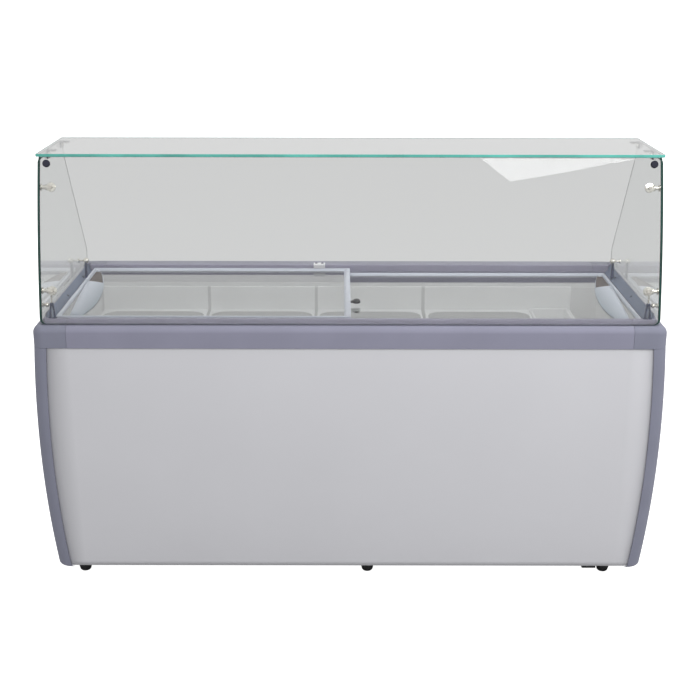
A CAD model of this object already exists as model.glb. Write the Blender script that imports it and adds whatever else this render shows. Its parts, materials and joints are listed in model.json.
"""Looks of the ice cream dipping cabinet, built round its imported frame. Lengths are in metres."""
import json
from math import asin, atan2, cos, pi, radians, sin, sqrt

import bmesh
import bpy
from mathutils import Matrix, Vector, noise


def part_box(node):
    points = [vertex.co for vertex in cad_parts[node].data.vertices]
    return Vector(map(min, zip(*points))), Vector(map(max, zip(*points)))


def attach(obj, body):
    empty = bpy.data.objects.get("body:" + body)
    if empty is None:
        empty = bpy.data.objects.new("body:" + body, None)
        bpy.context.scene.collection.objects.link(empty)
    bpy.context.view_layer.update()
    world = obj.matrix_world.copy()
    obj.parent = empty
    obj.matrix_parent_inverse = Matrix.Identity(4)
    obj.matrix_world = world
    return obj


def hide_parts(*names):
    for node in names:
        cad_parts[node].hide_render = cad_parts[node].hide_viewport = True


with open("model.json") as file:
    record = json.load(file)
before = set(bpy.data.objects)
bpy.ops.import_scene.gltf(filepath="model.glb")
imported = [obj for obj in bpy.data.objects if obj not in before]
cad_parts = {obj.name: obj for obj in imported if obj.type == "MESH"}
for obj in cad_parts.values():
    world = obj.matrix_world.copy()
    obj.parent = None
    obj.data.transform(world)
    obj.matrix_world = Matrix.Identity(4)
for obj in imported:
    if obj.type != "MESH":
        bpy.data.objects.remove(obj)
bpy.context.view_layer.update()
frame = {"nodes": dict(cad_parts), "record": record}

MM = 0.001
MIRROR = Matrix.Diagonal((-1, 1, 1, 1))

# ---- Sizes of the frame that the pieces are built from ----
front_lo, front_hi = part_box("front_rail")
rear_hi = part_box("rear_rail")[1]
end_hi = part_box("right_rail")[1]
HALF_L, HALF_W = end_hi.x, rear_hi.y
SKIRT_Z, LIP_Z, RIM_Z, REAR_Z = front_lo.z, front_hi.z, end_hi.z, rear_hi.z
SHOULDER_Z = LIP_Z - 12 * MM
CAP_L = HALF_L - front_hi.x
RAIL_IN, END_IN = 54 * MM, 58 * MM
END_RIDGE, END_FALL = 31 * MM, 23 * MM
SLOPE_IN = END_RIDGE + 4 * MM
FRONT_R, REAR_R, END_R = 20 * MM, 6 * MM, 26 * MM
RAIL_T = 3 * MM
TRACK_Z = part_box("rear_track")[0].z
CORNER_R = 33 * MM
POST_W, POST_T = 41 * MM, 3 * MM
BELLY_OUT, BELLY_R, BELLY_Z = 6 * MM, 4.4, 0.51
PANEL_IN, SHEET = 3.2 * MM, 1.2 * MM
ROWS, COLUMN = 48, 72 * MM
top_lo, top_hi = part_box("top_glass")
GLASS_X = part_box("front_glass")[1].x
SIDE_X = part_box("right_side_glass")[0].x
GLASS_T = 6 * MM
FRONT_BOW = 12 * MM

# ---- Places of small parts. The grips' ends are in mm ----
TRAY_LO, TRAY_HI = (0.7155, -0.2905, 0.0145), (0.7585, -0.001, 0.036)
CLAMP_SHARES, CAP_SHARE = (0.20, 0.82), 0.96
CLIP_PLACES = (-0.115, 0.058)
REAR_FOOT_Y = 0.195
SCREW_PLACES, SCREW_IN = (-0.273, -0.048, 0.177), 46 * MM
LOCK_X, LOCK_Y = 20.5 * MM, -0.100
GRIP_FRONT, GRIP_REAR = -258, 255


# ---- Shapes: a list of points and a list of faces ----
def skin(rings, loop=False, caps=True):
    """Quads through equal rings of points, closed at both ends or joined into a loop."""
    n, count = len(rings[0]), len(rings)
    faces = []
    for i in range(count if loop else count - 1):
        a, b = i * n, (i + 1) % count * n
        faces += [(a + k, a + (k + 1) % n, b + (k + 1) % n, b + k) for k in range(n)]
    if caps and not loop:
        faces += [tuple(range(n)), tuple((count - 1) * n + k for k in range(n))]
    return [Vector(p) for ring in rings for p in ring], faces


def join(*shapes):
    """Several shapes as one."""
    points, faces = [], []
    for p, f in shapes:
        faces += [tuple(i + len(points) for i in face) for face in f]
        points += p
    return points, faces


def placed(shape, matrix):
    """The shape moved, turned or mirrored by a matrix."""
    return [matrix @ p for p in shape[0]], shape[1]


def mirrored(shape):
    """The shape and its mirror image across the cabinet's middle."""
    return join(shape, placed(shape, MIRROR))


def arc(cx, cy, r, a0, a1, n):
    """n + 1 points of a circle round (cx, cy), from angle a0 to a1 in degrees."""
    steps = [radians(a0 + (a1 - a0) * i / n) for i in range(n + 1)]
    return [(cx + r * cos(a), cy + r * sin(a)) for a in steps]


def round_rect(x0, x1, y0, y1, r, n=6):
    return (arc(x1 - r, y1 - r, r, 0, 90, n) + arc(x0 + r, y1 - r, r, 90, 180, n)
            + arc(x0 + r, y0 + r, r, 180, 270, n) + arc(x1 - r, y0 + r, r, 270, 360, n))


def along_x(outline, x0, x1):
    """A bar along X whose outline is (y, z) pairs. along_y takes (x, z) pairs and along_z (x, y)."""
    return skin([[(x, p[0], p[1]) for p in outline] for x in (x0, x1)])


def along_y(outline, y0, y1):
    return skin([[(p[0], y, p[1]) for p in outline] for y in (y0, y1)])


def along_z(outline, z0, z1):
    return skin([[(p[0], p[1], z) for p in outline] for z in (z0, z1)])


def block(a, b):
    """A box between two opposite corners."""
    return along_z([(a[0], a[1]), (b[0], a[1]), (b[0], b[1]), (a[0], b[1])], a[2], b[2])


def turned(profile, place, axis, turns=32):
    """A turned part: (radius, height) pairs round an axis through a place."""
    rings = [[(max(r, 1e-5) * cos(2 * pi * k / turns), max(r, 1e-5) * sin(2 * pi * k / turns), h)
              for k in range(turns)] for r, h in profile]
    aim = Vector(axis).to_track_quat("Z", "Y").to_matrix().to_4x4()
    return placed(skin(rings), Matrix.Translation(place) @ aim)


def tube(path, r, sides=12):
    """A round bar along a path."""
    rings = []
    for i, p in enumerate(path):
        ahead = Vector(path[min(i + 1, len(path) - 1)]) - Vector(path[max(i - 1, 0)])
        turn = ahead.to_track_quat("Z", "Y")
        circle = [2 * pi * k / sides for k in range(sides)]
        rings.append([Vector(p) + turn @ Vector((r * cos(a), r * sin(a), 0)) for a in circle])
    return skin(rings)


# ---- Materials ----
class Nodes:
    """A material's node tree round one Principled shader."""

    def __init__(self, name, colour, roughness=0.5, metallic=0.0, ior=1.45):
        self.material = bpy.data.materials.new(name)
        self.material.use_nodes = True
        self.tree = self.material.node_tree
        self.shader = self.tree.nodes["Principled BSDF"]
        self.colour = colour
        self.set(Base_Color=(*colour, 1), Roughness=roughness, Metallic=metallic, IOR=ior)
        self.place = self.tree.nodes.new("ShaderNodeTexCoord").outputs["Object"]

    def set(self, **values):
        for key, value in values.items():
            self.shader.inputs[key.replace("_", " ")].default_value = value
        return self

    def node(self, kind, **inputs):
        made = self.tree.nodes.new("ShaderNode" + kind)
        for key, value in inputs.items():
            socket = made.inputs[key.replace("_", " ")]
            if isinstance(value, bpy.types.NodeSocket):
                self.tree.links.new(value, socket)
            else:
                socket.default_value = value
        return made

    def noise(self, size, detail=2.0, stretch=(1, 1, 1)):
        """Noise whose lumps are about size metres across, drawn out along an axis by stretch."""
        mapping = self.node("Mapping", Vector=self.place, Scale=[1 / (size * s) for s in stretch])
        return self.node("TexNoise", Vector=mapping.outputs[0], Scale=1.0, Detail=detail).outputs["Fac"]

    def between(self, value, low, high):
        made = self.node("MapRange", Value=value)
        made.inputs["From Min"].default_value, made.inputs["From Max"].default_value = 0.3, 0.7
        made.inputs["To Min"].default_value, made.inputs["To Max"].default_value = low, high
        return made.outputs["Result"]

    def mottle(self, value, spread):
        """Varies the base colour's brightness by a share, as value goes from low to high."""
        ramp = self.tree.nodes.new("ShaderNodeValToRGB")
        self.tree.links.new(value, ramp.inputs["Fac"])
        for stop, place, gain in zip(ramp.color_ramp.elements, (0.3, 0.7), (1 - spread, 1 + spread)):
            stop.position = place
            stop.color = (*[min(1.0, c * gain) for c in self.colour], 1)
        self.tree.links.new(ramp.outputs["Color"], self.shader.inputs["Base Color"])
        return self

    def rough(self, value, low, high):
        self.tree.links.new(self.between(value, low, high), self.shader.inputs["Roughness"])
        return self

    def bump(self, value, height, strength=0.5):
        made = self.node("Bump", Height=value, Strength=strength, Distance=height)
        self.tree.links.new(made.outputs["Normal"], self.shader.inputs["Normal"])
        return self


def powder_coat(name, colour):
    """Satin white paint with a faint orange peel."""
    n = Nodes(name, colour, 0.42)
    n.mottle(n.noise(0.35), 0.012).rough(n.noise(0.02), 0.36, 0.48).bump(n.noise(0.0025), 0.0002, 0.12)
    return n.set(Coat_Weight=0.15, Coat_Roughness=0.2).material


def moulded(name, colour, roughness=0.45, grain=0.0012, shine=0.5):
    """Satin moulded plastic with a fine spark grain."""
    n = Nodes(name, colour, roughness).set(Specular_IOR_Level=shine)
    n.mottle(n.noise(0.12), 0.03).rough(n.noise(0.01), roughness - 0.06, roughness + 0.06)
    return n.bump(n.noise(grain, 1.0), 0.0002, 0.15).material


def brushed(name, colour, roughness=0.35, along=(40, 1, 1), metallic=1.0):
    """Metal with fine scratches drawn out along one axis."""
    n = Nodes(name, colour, roughness, metallic)
    lines = n.noise(0.0012, 4.0, along)
    n.mottle(n.noise(0.08, 3.0), 0.06).rough(lines, roughness - 0.08, roughness + 0.12)
    return n.bump(lines, 0.0001, 0.2).material


def grip_plastic(name, inner, crest):
    """Moulded plastic that is darker on a grip's slope towards the middle of the cabinet."""
    n = Nodes(name, crest, 0.32)
    across = n.node("Math", Value=n.node("SeparateXYZ", Vector=n.place).outputs["X"])
    across.operation = "ABSOLUTE"
    share = n.node("MapRange", Value=across.outputs[0])
    share.inputs["From Min"].default_value, share.inputs["From Max"].default_value = 0.765, 0.822
    ramp = n.tree.nodes.new("ShaderNodeValToRGB")
    n.tree.links.new(share.outputs["Result"], ramp.inputs["Fac"])
    ramp.color_ramp.elements[0].color, ramp.color_ramp.elements[1].color = (*inner, 1), (*crest, 1)
    n.tree.links.new(ramp.outputs["Color"], n.shader.inputs["Base Color"])
    return n.bump(n.noise(0.0012, 1.0), 0.0002, 0.15).material


def embossed(name, colour):
    """Dull sheet aluminium with a hammered surface."""
    n = Nodes(name, colour, 0.4, 0.0)
    cells = n.node("TexVoronoi", Vector=n.place, Scale=90.0).outputs["Distance"]
    n.mottle(n.noise(0.15, 3.0), 0.03).rough(n.noise(0.03), 0.34, 0.5)
    return n.bump(cells, 0.0003, 0.12).material


def polished(name, colour, roughness=0.12):
    n = Nodes(name, colour, roughness, 1.0)
    return n.mottle(n.noise(0.006, 3.0), 0.25).rough(n.noise(0.004), 0.06, 0.22).bump(
        n.noise(0.003), 0.0002, 0.1).material


def foamed(name, colour):
    n = Nodes(name, colour, 0.85)
    cells = n.node("TexVoronoi", Vector=n.place, Scale=400.0).outputs["Distance"]
    return n.mottle(n.noise(0.05, 4.0), 0.08).rough(cells, 0.75, 0.95).bump(cells, 0.0006, 0.5).material


def clear_glass(name, colour):
    """Toughened sheet glass with the faint waviness of its rollers."""
    n = Nodes(name, colour, 0.0, ior=1.5).set(Transmission_Weight=1.0)
    return n.bump(n.noise(0.3, 0.0), 0.0006, 0.02).material


def cut_edge(name, colour, roughness=0.18):
    """The ground edge of a sheet of glass, as deep in colour as the glass looks end on."""
    n = Nodes(name, colour, roughness, ior=1.5)
    return n.mottle(n.noise(0.02, 3.0, (6, 6, 6)), 0.2).rough(n.noise(0.003), 0.1, 0.3).material


MATERIALS = {
    "white_panel": powder_coat("white_panel", (0.54, 0.54, 0.567)),
    "corner_plastic": moulded("corner_plastic", (0.199, 0.205, 0.262), shine=0.3),
    "rim_plastic": moulded("rim_plastic", (0.228, 0.228, 0.298), shine=0.5),
    "galvanised_steel": brushed("galvanised_steel", (0.55, 0.56, 0.58), 0.45),
    "foam": foamed("foam", (0.80, 0.70, 0.42)),
    "liner_metal": embossed("liner_metal", (0.58, 0.59, 0.61)),
    "copper_pipe": brushed("copper_pipe", (0.72, 0.35, 0.18), 0.3),
    "dark_screw": brushed("dark_screw", (0.05, 0.05, 0.07), 0.35),
    "lid_plastic": moulded("lid_plastic", (0.60, 0.63, 0.71), 0.32),
    "lid_glass": clear_glass("lid_glass", (0.985, 0.995, 0.99)),
    "guard_glass": clear_glass("guard_glass", (0.965, 0.975, 0.972)),
    "black_plastic": moulded("black_plastic", (0.012, 0.012, 0.014), 0.4),
    "white_plastic": moulded("white_plastic", (0.78, 0.78, 0.80), 0.3),
    "chrome_fitting": polished("chrome_fitting", (0.62, 0.60, 0.55)),
    "navy_bracket": moulded("navy_bracket", (0.03, 0.045, 0.11), 0.35),
    "unit_black": moulded("unit_black", (0.012, 0.012, 0.013), 0.35, 0.004),
    "fin_metal": brushed("fin_metal", (0.62, 0.63, 0.65), 0.35, (1, 1, 30)),
    "motor_metal": moulded("motor_metal", (0.05, 0.05, 0.06), 0.4),
}
DARK_EDGE = cut_edge("glass_edge_dark", (0.004, 0.035, 0.028))
TEAL_EDGE = cut_edge("glass_edge_teal", (0.10, 0.42, 0.36))
PALE_RIM = moulded("rim_pale", (0.345, 0.33, 0.43), shine=0.3)
DARK_RIM = moulded("rim_dark", (0.155, 0.19, 0.275), shine=0.3)
HOLLOW = moulded("handle_hollow", (0.075, 0.05, 0.042), 0.5)
GRIP = grip_plastic("grip_plastic", (0.30, 0.35, 0.41), (0.62, 0.66, 0.74))
RACK = embossed("rack_metal", (0.95, 0.96, 0.97))


# ---- Pieces ----
def piece(name, shape, slot, body, *nodes, bevel=0.0, angle=32, marks=None, others=(), coat=None):
    """A mesh piece on a body, which stands for CAD nodes.

    coat is used in place of the slot's material. marks says for each face 0 for that one, or 1 and up
    for one of the others.
    """
    mesh = bpy.data.meshes.new(name)
    mesh.from_pydata([tuple(p) for p in shape[0]], [], shape[1])
    bm = bmesh.new()
    bm.from_mesh(mesh)
    bmesh.ops.recalc_face_normals(bm, faces=bm.faces)
    bm.to_mesh(mesh)
    bm.free()
    mesh.materials.append(coat or MATERIALS[slot])
    for extra in others:
        mesh.materials.append(extra)
    if others:
        for face in mesh.polygons:
            face.material_index = int(marks(face.center, face.normal))
    mesh.shade_smooth()
    mesh.set_sharp_from_angle(angle=radians(angle))
    made = bpy.data.objects.new(name, mesh)
    bpy.context.scene.collection.objects.link(made)
    if bevel:
        soften(made, bevel)
    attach(made, body)
    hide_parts(*nodes)
    return made


def soften(thing, width):
    """Rounds an object's sharp edges."""
    made = thing.modifiers.new("soft_edges", "BEVEL")
    made.width, made.segments = width, 2
    made.limit_method, made.angle_limit = "ANGLE", radians(34)
    made.harden_normals = True


# ---- Outer shell: walls that swell past the rim, and corner posts ----
def belly(z):
    """How far the outer shell stands out past the rails at a height. Below 0 it stands in."""
    return BELLY_OUT - (BELLY_R - sqrt(BELLY_R ** 2 - (z - BELLY_Z) ** 2))


def breaks(low, high, count, *extra):
    """Even steps from low to high, with extra places among them."""
    even = [low + (high - low) * i / count for i in range(count + 1)]
    step = (high - low) / count
    return sorted([v for v in even if all(abs(v - e) > step / 3 for e in extra)] + list(extra))


def wall(name, node, half, side, holes=()):
    """A curved sheet wall with oblong holes. side turns the rear wall's coordinates to the wall's own."""
    lo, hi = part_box(node)
    length = (hi.x - lo.x if side in "fb" else hi.y - lo.y) / 2
    u_breaks = breaks(-length, length, round(2 * length / COLUMN),
                      *[v for h in holes for v in h[:2]])
    z_breaks = breaks(lo.z, hi.z, ROWS, *[v for h in holes for v in h[2:]])
    turn = {"b": 0, "l": 90, "f": 180, "r": -90}[side]
    points, faces = [], []
    for z in z_breaks:
        reach = length - BELLY_OUT + belly(z)
        points += [Vector((max(-reach, min(reach, u)), half + belly(z) - PANEL_IN, z)) for u in u_breaks]
    n = len(u_breaks)
    for i in range(len(z_breaks) - 1):
        for k in range(n - 1):
            u, z = (u_breaks[k] + u_breaks[k + 1]) / 2, (z_breaks[i] + z_breaks[i + 1]) / 2
            if not any(h[0] < u < h[1] and h[2] < z < h[3] for h in holes):
                faces.append((i * n + k, i * n + k + 1, (i + 1) * n + k + 1, (i + 1) * n + k))
    shape = placed((points, faces), Matrix.Rotation(radians(turn), 4, "Z"))
    made = piece(name, shape, "white_panel", "cabinet", node)
    thick = made.modifiers.new("sheet", "SOLIDIFY")
    thick.thickness, thick.offset = SHEET, -1


def walls():
    """The four walls, with openings in the back one for the grille and the controls, and the drip tray."""
    grille_lo, grille_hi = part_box("rear_grille")
    lap = 7 * MM
    controls = ("thermostat_dial", "power_switch", "power_inlet")
    dial, rocker, inlet = [sum(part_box(n), Vector()) / 2 for n in controls]
    holes = [(grille_lo.x + lap, grille_hi.x - lap, grille_lo.z + lap, grille_hi.z - lap)]
    # half of each control's opening, in mm
    for centre, w, h in ((dial, 4, 4), (rocker, 11, 14), (inlet, 8, 8)):
        holes.append((centre.x - w * MM, centre.x + w * MM, centre.z - h * MM, centre.z + h * MM))
    wall("front_wall", "front_panel", HALF_W, "f")
    wall("back_wall", "back_panel", HALF_W, "b", holes)
    wall("left_wall", "left_end_panel", HALF_L, "l")
    wall("right_wall", "right_end_panel", HALF_L, "r")
    piece("drip_tray", block(TRAY_LO, TRAY_HI), "black_plastic", "cabinet", bevel=2 * MM)


def post(node, sx, sy):
    """A corner post that follows both walls, with a rounded toe."""
    lo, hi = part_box(node)
    outer = [(-POST_W, 0)] + arc(-CORNER_R, -CORNER_R, CORNER_R, 90, 0, 14) + [(0, -POST_W)]
    inner = ([(-POST_T, -POST_W)] + arc(-CORNER_R, -CORNER_R, CORNER_R - POST_T, 0, 90, 14)
             + [(-POST_W, -POST_T)])
    rings = []
    toe = 9 * MM
    low_rows = [lo.z + toe * (1 - cos(radians(a))) for a in range(0, 90, 10)]
    for z in low_rows + [lo.z + toe + (hi.z - lo.z - toe) * i / ROWS for i in range(ROWS + 1)]:
        low = max(0, toe - (z - lo.z))
        tuck = toe - sqrt(toe ** 2 - low ** 2)
        rings.append([(sx * (HALF_L + belly(z) + x - tuck), sy * (HALF_W + belly(z) + y - tuck * 0.3), z)
                      for x, y in outer + inner])
    piece(node.replace("post", "corner_post"), skin(rings), "corner_plastic", "cabinet", node)


# ---- Rim: rails and corner pieces. Sections are (distance in from the outer face, height) ----
def hollow(outer, inner_x, inner):
    """A rail's closed section: its outside, the leg down to the lids' tracks, and its inside."""
    return outer + [(inner_x, TRACK_Z), (inner_x - RAIL_T, TRACK_Z)] + inner


def front_section():
    outer = [(0, SKIRT_Z)] + arc(FRONT_R, SHOULDER_Z - FRONT_R - MM, FRONT_R, 180, 90, 14) + [
        (33 * MM, SHOULDER_Z + MM), (35 * MM, LIP_Z - 2.5 * MM), (38 * MM, LIP_Z), (48 * MM, LIP_Z),
        (RAIL_IN, LIP_Z - 4 * MM)]
    inner = [(RAIL_IN - RAIL_T, LIP_Z - 5 * MM), (38 * MM, LIP_Z - 3 * MM),
             (36 * MM, SHOULDER_Z - 2 * MM)] + arc(
        FRONT_R, SHOULDER_Z - FRONT_R - MM, FRONT_R - RAIL_T, 90, 180, 14) + [(RAIL_T, SKIRT_Z)]
    return hollow(outer, RAIL_IN, inner)


def rear_section():
    outer = [(0, SKIRT_Z)] + arc(REAR_R, REAR_Z - REAR_R, REAR_R, 180, 90, 8) + [
        (51.5 * MM, REAR_Z), (RAIL_IN, REAR_Z - 2.5 * MM)]
    inner = [(RAIL_IN - RAIL_T, REAR_Z - 5 * MM), (49 * MM, REAR_Z - 3 * MM)] + arc(
        REAR_R, REAR_Z - REAR_R, REAR_R - RAIL_T, 90, 180, 8) + [(RAIL_T, SKIRT_Z)]
    return hollow(outer, RAIL_IN, inner)


def end_section():
    outer = [(0, SKIRT_Z)] + arc(END_R, SHOULDER_Z - END_R, END_R, 180, 90, 14) + [
        (END_RIDGE - 0.3 * MM, SHOULDER_Z + 0.5 * MM), (END_RIDGE, RIM_Z - MM), (END_RIDGE + MM, RIM_Z),
        (SLOPE_IN, RIM_Z), (END_IN, RIM_Z - END_FALL)]
    inner = [(END_IN - RAIL_T, RIM_Z - END_FALL - 1.5 * MM), (SLOPE_IN - MM, RIM_Z - 4 * MM),
             (END_RIDGE + 2.2 * MM, SHOULDER_Z - 2.5 * MM)] + arc(
        END_R, SHOULDER_Z - END_R, END_R - RAIL_T, 90, 180, 14) + [(RAIL_T, SKIRT_Z)]
    return hollow(outer, END_IN, inner)


def rim_shade(c, n):
    """1 on the front lip and the rear rail's inner face, 2 on the ends' inner slopes, and 0 elsewhere."""
    if n.z > 0.3 and abs(n.x) > 0.3 and abs(c.x) < HALF_L - SLOPE_IN:
        return 2
    lip = -HALF_W + 30 * MM < c.y < -HALF_W + RAIL_IN and c.z > SHOULDER_Z
    return int(n.y < -0.5 and c.y > HALF_W - RAIL_IN - MM or lip)


def rails():
    gap = 0.25 * MM
    x, y = HALF_L - CAP_L - gap, HALF_W - CAP_L - gap
    front = along_x([(u - HALF_W, z) for u, z in front_section()], -x, x)
    rear = along_x([(HALF_W - u, z) for u, z in rear_section()], -x, x)
    end = along_y([(HALF_L - u, z) for u, z in end_section()], -y, y)
    shapes = {"front_rail": front, "rear_rail": rear, "right_rail": end, "left_rail": placed(end, MIRROR)}
    for name, shape in shapes.items():
        piece(name.replace("rail", "rim"), shape, "rim_plastic", "cabinet", name, bevel=0.5 * MM,
              others=[PALE_RIM, DARK_RIM], marks=rim_shade)


def band_ring(step, r, top, inner):
    """Ring of a corner piece's outer band at one step of its path round the corner."""
    section = [(0, SKIRT_Z)] + arc(r, top - r, r, 180, 90, 14) + [
        (inner, top + 0.3 * MM), (inner, TRACK_Z), (RAIL_T, SKIRT_Z)]
    return [(*step(u), z) for u, z in section]


def corner_piece(node, sx, sy):
    """An outer band swept round the corner, with the ridges of the two rails that meet there on top."""
    front = sy < 0
    x_end, y_end = HALF_L - CAP_L + 0.25 * MM, HALF_W - CAP_L + 0.25 * MM
    cx, cy = HALF_L - CORNER_R, HALF_W - CORNER_R

    def straight_x(x):
        return lambda u: (min(x, HALF_L - u), HALF_W - u)

    def round_corner(a):
        def at(u):
            reach, over = max(CORNER_R - u, 0), max(u - CORNER_R, 0)
            return cx + reach * cos(a) - over, cy + reach * sin(a) - over
        return at

    def straight_y(y):
        return lambda u: (HALF_L - u, min(y, HALF_W - u))

    # share 0 is the long rail's rounding and height, 1 the end rail's
    steps = [(straight_x(x_end + (cx - x_end) * i / 5), 0.3 * (i / 5) ** 2) for i in range(5)]
    steps += [(round_corner(radians(90 - 90 * i / 14)), 0.3 + 0.7 * i / 14) for i in range(15)]
    steps.append((straight_y(y_end), 1.0))
    rings = []
    for step, share in steps:
        if front:
            r, top = FRONT_R + (END_R - FRONT_R) * share, SHOULDER_Z - MM * (1 - share)
        else:
            r = REAR_R + (END_R - REAR_R) * share
            top = REAR_Z + (SHOULDER_Z - REAR_Z) * max(0, share / 0.7 - 3 / 7)
        rings.append(band_ring(step, r, top, 34 * MM))
    band = skin(rings)
    ridge = [(END_RIDGE, SHOULDER_Z - 9 * MM), (END_RIDGE, RIM_Z - MM), (END_RIDGE + MM, RIM_Z),
             (SLOPE_IN, RIM_Z), (END_IN, RIM_Z - END_FALL), (END_IN, TRACK_Z), (END_RIDGE, TRACK_Z)]
    if front:
        lip = [(32 * MM, SHOULDER_Z - 9 * MM), (33 * MM, SHOULDER_Z + MM), (35 * MM, LIP_Z - 2.5 * MM),
               (38 * MM, LIP_Z), (48 * MM, LIP_Z), (RAIL_IN, LIP_Z - 4 * MM), (RAIL_IN, TRACK_Z),
               (32 * MM, TRACK_Z)]
        # the end rail's ridge comes down to the lip's height as it nears the front
        places = [y_end + (HALF_W - 38 * MM - y_end) * i / 14 for i in range(15)]
        rise = (RIM_Z - LIP_Z) / (22 * MM)
        tops = [min(RIM_Z, LIP_Z + rise * max(0, HALF_W - 50 * MM - y)) for y in places]
        end = HALF_L - END_RIDGE - 3 * MM
    else:
        lip = [(20 * MM, REAR_Z - 10 * MM), (20 * MM, REAR_Z), (51.5 * MM, REAR_Z),
               (RAIL_IN, REAR_Z - 2.5 * MM), (RAIL_IN, TRACK_Z), (20 * MM, TRACK_Z)]
        places = [y_end + (HALF_W - 30 * MM - y_end) * i / 14 for i in range(15)]
        tops = [RIM_Z] * 15
        end = HALF_L - SLOPE_IN - 12 * MM
    bars = [skin([[(HALF_L - u, y, min(z, top)) for u, z in ridge] for y, top in zip(places, tops)])]
    bars.append(skin([[(x, HALF_W - u, z) for u, z in lip] for x in (x_end, end)]))
    shape = placed(join(band, *bars), Matrix.Diagonal((sx, sy, 1, 1)))
    piece(node.replace("rim_corner", "rim_cap"), shape, "corner_plastic", "cabinet", node, bevel=0.6 * MM,
          others=[PALE_RIM, DARK_RIM], marks=rim_shade)


def rim():
    rails()
    for front, sy in (("front", -1), ("rear", 1)):
        for side, sx in (("left", -1), ("right", 1)):
            corner_piece(f"rim_corner_{front}_{side}", sx, sy)
            post(f"post_{front}_{side}", sx, sy)


# ---- Glass guard ----
class Bow:
    """The front glass's bowed middle surface, from its low edge to its high one."""

    def __init__(self):
        self.low = Vector((-HALF_W + 21 * MM, SHOULDER_Z + 1.3 * MM))
        self.high = Vector((-0.2, top_lo.z - 1.4 * MM))
        chord = self.high - self.low
        self.lean = atan2(chord.x, chord.y)
        self.r = chord.length ** 2 / (8 * FRONT_BOW) + FRONT_BOW / 2
        bulge = Vector((-cos(self.lean), sin(self.lean)))
        self.axis = (self.low + self.high) / 2 - bulge * (self.r - FRONT_BOW)
        self.span = 2 * asin(chord.length / 2 / self.r)
        self.height = self.r * self.span

    def angle(self, t):
        return pi - self.lean + self.span * (0.5 - t)

    def at(self, t, out=0.0):
        """(y, z) at share t of the height, a distance out from the middle surface."""
        a = self.angle(t)
        return self.axis + (self.r + out) * Vector((cos(a), sin(a)))

    def out(self, t):
        return Vector((0, cos(self.angle(t)), sin(self.angle(t))))

    def place(self, x, t, out=0.0):
        return Vector((x, *self.at(t, out)))


def front_glass(bow):
    """The bowed pane with rounded corners. Its last band at both ends is dark, as are its edges."""
    r, edge, chamfer, band = 16 * MM, GLASS_T / 2, 0.7 * MM, 6.5 * MM
    near = [r * (1 - cos(radians(a))) for a in range(0, 91, 10)]
    places = near + [near[-1] + (bow.height - 2 * near[-1]) * i / 28 for i in range(1, 28)] + [
        bow.height - v for v in reversed(near)]
    rings = []
    for s in places:
        short = max(0, r - min(s, bow.height - s))
        w = GLASS_X - (r - sqrt(max(0, r ** 2 - short ** 2)))
        ends = [(w - band, edge), (w - chamfer, edge), (w, edge - chamfer), (w, chamfer - edge),
                (w - chamfer, -edge)]
        ends += [(-x, out) for x, out in ends[::-1]]
        rings.append([bow.place(x, s / bow.height, out) for x, out in ends])

    def dark(c, n):
        """The bands at both ends, and the edges above and below."""
        return abs(c.x) > GLASS_X - band - r or abs(n.y * sin(bow.lean) + n.z * cos(bow.lean)) > 0.8

    piece("front_pane", skin(rings), "guard_glass", "cabinet", "front_glass", others=[DARK_EDGE],
          marks=dark)


def chamfered(outline, x0, x1, cut):
    """A flat pane across X with its edges chamfered."""
    centre = sum((Vector(p) for p in outline), Vector((0, 0))) / len(outline)
    inner = []
    for i, p in enumerate(outline):
        before, after = Vector(outline[i - 1]), Vector(outline[(i + 1) % len(outline)])
        a, b = (Vector(p) - before).normalized(), (after - Vector(p)).normalized()
        inward = Vector((-(a + b).y, (a + b).x)).normalized()
        if inward.dot(centre - Vector(p)) < 0:
            inward = -inward
        inner.append(Vector(p) + inward * cut)
    return skin([[(x, q[0], q[1]) for q in ring] for x, ring in
                 ((x0, inner), (x0 + cut, outline), (x1 - cut, outline), (x1, inner))])


def side_glasses(bow):
    front = [tuple(bow.at(0.012 + 0.98 * i / 24, -GLASS_T / 2 - 0.8 * MM)) for i in range(25)]
    top = top_lo.z - 0.5 * MM
    rear = [(bow.high.x + 10 * MM, top), (0.066, top)] + arc(0.062, top - 12 * MM, 12 * MM, 80, 25, 4)
    foot = arc(0.303, RIM_Z + 40 * MM, 27 * MM, 30, -20, 5) + [
        (0.330, RIM_Z + 4 * MM), (0.327, RIM_Z + MM), (0.270, RIM_Z + MM), (0.262, SHOULDER_Z + 2 * MM),
        (-HALF_W + 32 * MM, SHOULDER_Z + 2 * MM)]
    pane = chamfered(front + rear + foot, SIDE_X, SIDE_X + GLASS_T, 0.6 * MM)
    for name, s in (("right", 1), ("left", -1)):
        shape = placed(pane, Matrix.Diagonal((s, 1, 1, 1)))
        piece(f"{name}_pane", shape, "guard_glass", "cabinet", f"{name}_side_glass", others=[DARK_EDGE],
              marks=lambda c, n: abs(n.x) < 0.9)


def top_glass():
    """The flat pane on top, with rounded corners and teal edges."""
    cut = 0.8 * MM
    outer = round_rect(top_lo.x, top_hi.x, top_lo.y, top_hi.y, 6 * MM)
    inner = round_rect(top_lo.x + cut, top_hi.x - cut, top_lo.y + cut, top_hi.y - cut, 5.2 * MM)
    rings = [[(x, y, z) for x, y in ring] for z, ring in
             ((top_lo.z, inner), (top_lo.z + cut, outer), (top_hi.z - cut, outer), (top_hi.z, inner))]
    piece("top_pane", skin(rings), "guard_glass", "cabinet", "top_glass", others=[TEAL_EDGE],
          marks=lambda c, n: abs(n.z) < 0.9)


# ---- Fittings of the guard ----
def dome(r, h):
    """Profile of a turned cap with a rounded top."""
    return [(r, 0), (r, h * 0.55), (r * 0.93, h * 0.82), (r * 0.8, h * 0.95), (r * 0.6, h), (0, h)]


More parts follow.
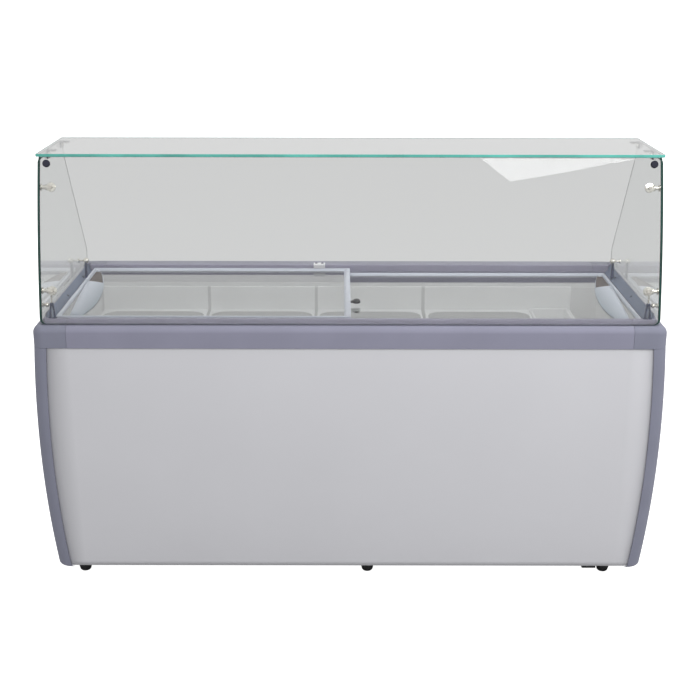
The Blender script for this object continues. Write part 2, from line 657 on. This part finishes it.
def front_fittings(bow):
    """Clamps that hold the front glass to the side glasses, and a round cap near each top corner."""
    edge = GLASS_T / 2
    clamps, caps = [], []
    for t in CLAMP_SHARES:
        x = SIDE_X - 31 * MM
        out = bow.out(t)
        clamps.append(turned([(9 * MM, 0), (13.5 * MM, 1 * MM), (13.5 * MM, 4 * MM), (11 * MM, 5.5 * MM),
                              (11 * MM, 9 * MM), (9.5 * MM, 11.5 * MM), (5 * MM, 12 * MM)],
                             bow.place(x, t, -edge), -out))
        y, z = bow.at(t, -edge - 8 * MM)
        clamps.append(turned([(4 * MM, 0), (7 * MM, 0.5 * MM), (7 * MM, 12 * MM), (9 * MM, 13 * MM),
                              (9 * MM, 17 * MM), (6 * MM, 18 * MM), (6 * MM, 27 * MM), (10 * MM, 28 * MM),
                              (10 * MM, 31 * MM), (4 * MM, 31 * MM)], (x, y + 2 * MM, z), (1, 0, 0)))
        clamps.append(turned(dome(5 * MM, 2.4 * MM), bow.place(x, t, edge), out, 20))
    piece("front_clamps", mirrored(join(*clamps)), "chrome_fitting", "cabinet", "glass_connectors",
          bevel=0.3 * MM)
    for side in (-1, 1):
        caps.append(turned(dome(10.5 * MM, 2.3 * MM), bow.place(SIDE_X - 18 * MM, CAP_SHARE, side * edge),
                           bow.out(CAP_SHARE) * side, 28))
    piece("round_caps", mirrored(join(*caps)), "dark_screw", "cabinet", bevel=0.2 * MM)


def top_clips():
    """Angle clips between the top glass and the side glasses, with a stud in each leg."""
    clips, studs = [], []
    for y in CLIP_PLACES:
        z = top_lo.z
        x1, y0, y1 = SIDE_X - 0.1 * MM, y - 8 * MM, y + 8 * MM
        clips += [block((SIDE_X - 28 * MM, y0, z - 3 * MM), (x1, y1, z - 0.1 * MM)),
                  block((SIDE_X - 4 * MM, y0, z - 20 * MM), (x1, y1, z - 2.5 * MM))]
        studs += [turned(dome(7 * MM, 6 * MM), (SIDE_X - 4 * MM, y, z - 12 * MM), (-1, 0, 0), 20),
                  turned(dome(6 * MM, 4 * MM), (SIDE_X - 19 * MM, y, z - 3 * MM), (0, 0, -1), 20)]
    piece("angle_clips", mirrored(join(*clips)), "dark_screw", "cabinet", "top_glass_clips", bevel=0.8 * MM)
    piece("clip_studs", mirrored(join(*studs)), "chrome_fitting", "cabinet", bevel=0.3 * MM)


def end_slope(x):
    """Height of the right end rail's inner slope at x."""
    return RIM_Z - END_FALL * (HALF_L - SLOPE_IN - x) / (END_IN - SLOPE_IN)


def ball(place, r):
    half_circle = [(r * sin(radians(a)), -r * cos(radians(a))) for a in range(0, 181, 12)]
    return turned(half_circle, place, (1, 0, 0), 24)


def brackets():
    """Feet that the side glasses stand on the rim with, and the ball clamps on them."""
    y = -HALF_W + 41 * MM
    x0, x1 = SIDE_X - 36 * MM, SIDE_X - 16 * MM
    mid, top = (x0 + x1) / 2, RIM_Z + 36 * MM
    # a foot that splits into two tines, which lean together at the top
    prongs = []
    for a, b in ((x0, mid - 4 * MM), (x1, mid + 4 * MM)):
        side = 1 if b > a else -1
        outline = [(a, LIP_Z), (a + side * 7 * MM, LIP_Z), (b + side * 0.5 * MM, RIM_Z + 14 * MM),
                   (mid + side * 2 * MM, top), (mid - side * 5 * MM, top),
                   (a + side * 3 * MM, RIM_Z + 16 * MM)]
        prongs.append(along_y(outline, y, y + 8 * MM))
    prongs.append(block((x0 - 2 * MM, y - 1 * MM, LIP_Z), (x1 + 2 * MM, y + 9 * MM, LIP_Z + 3 * MM)))
    stem0, stem1 = HALF_L - END_IN + 0.3 * MM, HALF_L - END_IN + 9 * MM
    stem = [(stem0, end_slope(stem0)), (stem1, end_slope(stem1)), (stem1 - 1 * MM, RIM_Z + 33 * MM),
            (stem0 + 1 * MM, RIM_Z + 33 * MM)]
    prongs.append(along_y(stem, REAR_FOOT_Y - 6 * MM, REAR_FOOT_Y + 6 * MM))
    piece("guard_feet", mirrored(join(*prongs)), "navy_bracket", "cabinet", "side_glass_brackets",
          bevel=1 * MM)
    front_ball = (x1 + 4 * MM, y + 4 * MM, RIM_Z + 30 * MM)
    rear_ball = (SIDE_X - 24 * MM, REAR_FOOT_Y, RIM_Z + 39 * MM)
    chrome = [ball(front_ball, 7 * MM), ball(rear_ball, 9.5 * MM)]
    for x, yy, z in (front_ball, rear_ball):
        disc, end = SIDE_X - x - 3 * MM, SIDE_X - x - 0.1 * MM
        pin = [(3 * MM, 0), (3 * MM, disc), (7 * MM, disc), (7 * MM, end), (1 * MM, end)]
        chrome.append(turned(pin, (x, yy, z), (1, 0, 0), 20))
    chrome.append(tube([(mid, y + 4 * MM, RIM_Z + 34 * MM), (mid, y + 5 * MM, RIM_Z + 60 * MM)], 2.5 * MM))
    piece("guard_balls", mirrored(join(*chrome)), "chrome_fitting", "cabinet")


# ---- Sliding lids ----
def frame_loop(x0, x1, y, z, h, left, right, edge, pane_top):
    """A mitred frame whose bars slope down to the pane. left, right and edge are the bars' widths."""
    section = [(0, 0), (0, 0.85 * h), (0.1, h), (0.5, h), (0.72, 0.86 * h), (1, pane_top + 0.1 * MM),
               (1, 0)]
    rings = []
    for sx, sy in ((-1, -1), (1, -1), (1, 1), (-1, 1)):
        x, w = (x0, left) if sx < 0 else (x1, -right)
        rings.append([(x + w * f, sy * (y - edge * f), z + up) for f, up in section])
    return skin(rings, loop=True)


def handle(z, h):
    """A leaf-shaped grip, crowned towards its outer edge, with a finger hollow in its rear half.

    Sections are (share of the way in from the outer edge, share of the height), at places along Y in mm.
    """
    solid = [(0, 0), (0, 0.55), (0.05, 0.85), (0.14, 1.0), (0.3, 0.96), (0.5, 0.8), (0.75, 0.55),
             (0.95, 0.32), (1, 0.2), (1, 0)]
    scoop = [(0, 0), (0, 0.55), (0.01, 0.9), (0.04, 0.95), (0.06, 0.32), (0.5, 0.30), (0.90, 0.30),
             (0.95, 0.6), (1, 0.4), (1, 0)]
    places = [(GRIP_FRONT + 12 * i, solid) for i in range(30)] + [(104, solid), (106, scoop)]
    places += [(108 + 10 * i, scoop) for i in range(14)] + [(243, scoop), (245, solid), (GRIP_REAR, solid)]
    rings = []
    for y, kind in places:
        ahead = max(y, 0) / GRIP_REAR
        outer = 836 - 25 * ((100 - min(y, 100)) / (100 - GRIP_FRONT)) ** 1.2 - 2 * ahead ** 3
        inner = 760 + (0.434 if y > -120 else 0.9) * ((y + 120) / 1000) ** 2 * 1000
        tip = 0.5 if y == GRIP_FRONT else 1
        rings.append([((outer - (outer - inner) * f) * MM, y * MM, z + h * up * tip) for f, up in kind])
    return skin(rings)


def lids():
    """Each lid's frame and grip, and the lock at the upper lid's end bar."""
    for side in ("left", "right"):
        lo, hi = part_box(f"{side}_lid_frame")
        pane_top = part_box(f"{side}_lid_glass")[1].z
        widths = (10 * MM, 19 * MM) if side == "left" else (19 * MM, 10 * MM)
        loop = frame_loop(lo.x, hi.x, hi.y, lo.z, hi.z - lo.z, *widths, 14 * MM, pane_top - lo.z)
        piece(f"{side}_frame", loop, "lid_plastic", f"{side}_lid", f"{side}_lid_frame", bevel=0.4 * MM)
        grip_lo, grip_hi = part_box(f"{side}_lid_handle")
        grip = handle(grip_lo.z, grip_hi.z - grip_lo.z)
        if side == "left":
            grip = placed(grip, MIRROR)
        low, high = grip_lo.z + MM, grip_lo.z + 0.45 * (grip_hi.z - grip_lo.z)

        def hollow_floor(c, n):
            """The bottom of the finger hollow."""
            return 0.1045 < c.y < 0.2445 and low < c.z < high and abs(n.y) < 0.5 and abs(n.x) < 0.9

        piece(f"{side}_grip", grip, "lid_plastic", f"{side}_lid", f"{side}_lid_handle", angle=40,
              coat=GRIP, others=[HOLLOW], marks=hollow_floor)
    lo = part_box("lock_housing")[0]
    ring = turned([(12 * MM, 0), (12 * MM, 6.5 * MM), (10.5 * MM, 8.6 * MM), (8.2 * MM, 9 * MM),
                   (7.7 * MM, 8.4 * MM), (7.7 * MM, 3 * MM), (0, 3 * MM)],
                  (LOCK_X, LOCK_Y, lo.z), (0, 0, 1), 36)
    tab = block((lo.x, LOCK_Y - 5 * MM, lo.z), (LOCK_X - 8 * MM, LOCK_Y + 5 * MM, lo.z + 6 * MM))
    piece("lock_body", join(ring, tab), "black_plastic", "left_lid", "lock_housing", bevel=0.5 * MM)


def stop_bracket():
    """The white bent plate on the rear rail, and its two screws."""
    lo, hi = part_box("lid_stop_bracket")
    y0, t = lo.y, 1.8 * MM
    plate = [(y0, lo.z), (y0 + t, lo.z), (y0 + t, REAR_Z), (hi.y, REAR_Z), (hi.y, REAR_Z + 2 * MM),
             (y0 + 1 * MM, REAR_Z + 2 * MM), (y0, REAR_Z + 1 * MM)]
    piece("stop_plate", along_x(plate, lo.x, hi.x), "white_plastic", "cabinet", "lid_stop_bracket",
          bevel=0.5 * MM)
    heads = [turned(dome(4.5 * MM, 2.2 * MM), (x, hi.y - 10 * MM, REAR_Z + 1.5 * MM), (0, 0, 1), 20)
             for x in (lo.x + 9 * MM, hi.x - 9 * MM)]
    piece("stop_screws", join(*heads), "dark_screw", "cabinet")


def rim_screws():
    """Screws in the end rails' inner slopes."""
    x, square_to_slope = HALF_L - SCREW_IN, (-0.65, 0, 0.76)
    profile = [(0.1 * MM, -1 * MM), (4.3 * MM, -1 * MM), (4.3 * MM, 0.6 * MM), (3.4 * MM, 1.3 * MM),
               (1.2 * MM, 1.5 * MM), (1.0 * MM, 0.7 * MM), (0, 0.7 * MM)]
    heads = [turned(profile, (x, y, end_slope(x)), square_to_slope, 20) for y in SCREW_PLACES]
    piece("rim_screw_heads", mirrored(join(*heads)), "dark_screw", "cabinet", "rail_screws")


# ---- Tub racks ----
def ring_plate(outer, holes, z, t):
    """A flat plate with round-cornered openings, filled by cutting a mesh between the outlines."""
    bm = bmesh.new()
    loops = []
    for outline in [outer] + holes:
        verts = [bm.verts.new((p[0], p[1], z)) for p in outline]
        loops += [bm.edges.new((verts[i], verts[(i + 1) % len(verts)])) for i in range(len(verts))]
    filled = bmesh.ops.triangle_fill(bm, edges=loops, use_beauty=True, use_dissolve=False)
    faces = [f for f in filled["geom"] if isinstance(f, bmesh.types.BMFace)]
    extruded = bmesh.ops.extrude_face_region(bm, geom=faces)["geom"]
    raised = [v for v in extruded if isinstance(v, bmesh.types.BMVert)]
    bmesh.ops.translate(bm, vec=(0, 0, t), verts=raised)
    bm.verts.index_update()
    shape = [v.co.copy() for v in bm.verts], [tuple(v.index for v in f.verts) for f in bm.faces]
    bm.free()
    return shape


def racks():
    """Hanging racks of sheet metal, each with one opening for tubs, which reaches tub_w to either side."""
    tub_l, tub_w, tub_r = 332 * MM, 230 * MM, 50 * MM
    y = tub_w + 24 * MM
    well_lo, well_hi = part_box("scoop_well")
    for i in range(1, 5):
        lo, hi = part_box(f"tub_rack_{i}")
        x0 = (lo.x + hi.x - tub_l) / 2 if i < 4 else lo.x + 8 * MM
        x1 = x0 + tub_l
        holes = [round_rect(x0, x1, -tub_w, tub_w, tub_r, 10)]
        if i == 4:
            holes.append(round_rect(well_lo.x + 6 * MM, well_hi.x - 7 * MM, well_lo.y + 6 * MM,
                                    well_hi.y - 6 * MM, 10 * MM, 5))
        parts = [ring_plate([(lo.x, -y), (hi.x, -y), (hi.x, y), (lo.x, y)], holes, lo.z, 1.4 * MM)]
        # a thin lip round the tub's opening
        lip = 1.2 * MM
        outer = round_rect(x0 - lip, x1 + lip, -tub_w - lip, tub_w + lip, tub_r, 10)
        inner = round_rect(x0, x1, -tub_w, tub_w, tub_r, 10)
        levels = ((outer, lo.z - 0.1 * MM), (outer, lo.z + 1.2 * MM), (inner, lo.z + 1.3 * MM),
                  (inner, lo.z - 0.1 * MM))
        parts.append(skin([[(*p, z) for p in ring] for ring, z in levels], loop=True))
        for s in (-1, 1):
            flange = [(s * (y - 1.5 * MM), lo.z), (s * y, lo.z), (s * y, hi.z - 1.8 * MM),
                      (s * hi.y, hi.z - 1.8 * MM), (s * hi.y, hi.z), (s * (y - 1.0 * MM), hi.z),
                      (s * (y - 1.5 * MM), hi.z - 0.6 * MM)]
            parts.append(along_x(flange, lo.x, hi.x))
        piece(f"rack_{i}", join(*parts), "liner_metal", "cabinet", f"tub_rack_{i}", bevel=0.3 * MM,
              coat=RACK)
    well(well_lo, well_hi)


def well(lo, hi):
    """The small well of the fourth rack. Its levels are (inset in mm, height, corner radius in mm)."""
    levels = [(7, lo.z, 9), (7, hi.z - 7.1 * MM, 9), (0.4, hi.z - 7 * MM, 14), (0, hi.z - 2 * MM, 14),
              (1.6, hi.z, 12.5), (8.4, hi.z, 8.5), (10, hi.z - 1.6 * MM, 7.5), (10, lo.z + 3 * MM, 7.5)]
    rings = []
    for inset, z, r in levels:
        d = inset * MM
        rings.append([(*p, z) for p in round_rect(lo.x + d, hi.x - d, lo.y + d, hi.y - d, r * MM, 6)])
    piece("well", skin(rings), "white_plastic", "cabinet", "scoop_well", angle=50)


def dress():
    bow = Bow()
    front_glass(bow)
    side_glasses(bow)
    top_glass()
    front_fittings(bow)
    top_clips()
    brackets()
    lids()
    stop_bracket()
    rim_screws()
    racks()


# ---- Studio ----
def camera():
    """The view fitted to the photo: from the front, a little above the guard, looking down on it."""
    data = bpy.data.cameras.new("camera")
    data.lens, data.sensor_width, data.shift_x = 61.714, 36, 0.01
    made = bpy.data.objects.new("camera", data)
    made.location = (-0.02, -3.594, 1.7995)
    down, roll = radians(18.1), radians(0.09)
    aim = Matrix.Rotation(pi / 2 - down, 3, "X") @ Matrix.Rotation(roll, 3, "Z")
    made.rotation_euler = aim.to_euler()
    data.clip_end = 400
    bpy.context.scene.collection.objects.link(made)
    bpy.context.scene.camera = made


def floor():
    """A grey floor that the camera sees as white paper, and that shows faintly through glass."""
    shape = block((-60, -60, -0.02), (60, 60, 0))
    mesh = bpy.data.meshes.new("floor")
    mesh.from_pydata([tuple(p) for p in shape[0]], [], shape[1])
    made = bpy.data.objects.new("floor", mesh)
    bpy.context.scene.collection.objects.link(made)
    n = Nodes("floor", (0.50, 0.50, 0.50), 0.9)
    ray = n.node("LightPath")
    through_glass = n.node("Math", Value=ray.outputs["Is Transmission Ray"])
    through_glass.operation = "MULTIPLY"
    through_glass.inputs[1].default_value = 0.09
    glow = n.node("Math", Value=through_glass.outputs[0])
    n.tree.links.new(ray.outputs["Is Camera Ray"], glow.inputs[1])
    paper = n.node("Emission", Color=(1, 1, 1, 1), Strength=glow.outputs[0])
    both = n.node("AddShader")
    n.tree.links.new(n.shader.outputs[0], both.inputs[0])
    n.tree.links.new(paper.outputs[0], both.inputs[1])
    n.tree.links.new(both.outputs[0], n.tree.nodes["Material Output"].inputs["Surface"])
    mesh.materials.append(n.material)


def studio():
    """A pale surround, brightest above and to the right of the cabinet, and one broad lamp there."""
    world = bpy.data.worlds.new("studio")
    world.use_nodes = True
    bpy.context.scene.world = world
    tree = world.node_tree
    place = tree.nodes.new("ShaderNodeTexCoord")
    toward = tree.nodes.new("ShaderNodeVectorMath")
    toward.operation = "DOT_PRODUCT"
    toward.inputs[1].default_value = Vector((0.42, -0.25, 0.87)).normalized()
    tree.links.new(place.outputs["Generated"], toward.inputs[0])
    spread = tree.nodes.new("ShaderNodeMapRange")
    tree.links.new(toward.outputs["Value"], spread.inputs["Value"])
    for key, value in (("From Min", -1), ("From Max", 1), ("To Min", 0.53), ("To Max", 1.10)):
        spread.inputs[key].default_value = value
    tree.links.new(spread.outputs["Result"], tree.nodes["Background"].inputs["Strength"])
    tree.nodes["Background"].inputs["Color"].default_value = (1.0, 1.0, 1.0, 1)
    lamp = bpy.data.lights.new("lamp", "AREA")
    lamp.shape, lamp.size, lamp.size_y, lamp.energy = "RECTANGLE", 3.0, 1.0, 62
    made = bpy.data.objects.new("lamp", lamp)
    made.location = (1.7, -1.7, 3.0)
    made.visible_glossy = False
    made.rotation_euler = (Vector((0, 0, 0.7)) - made.location).to_track_quat("-Z", "Y").to_euler()
    bpy.context.scene.collection.objects.link(made)
    bpy.context.scene.view_settings.view_transform = "Standard"


camera()
floor()
studio()
walls()
rim()
dress()

# The CAD nodes that no piece stands for show in their own material slot's looks.
for name, thing in frame["nodes"].items():
    if not thing.hide_render:
        row = next(r for r in frame["record"]["subparts"] if r["node"] == name)
        thing.data.materials.clear()
        thing.data.materials.append(MATERIALS[row["material_slot"]])
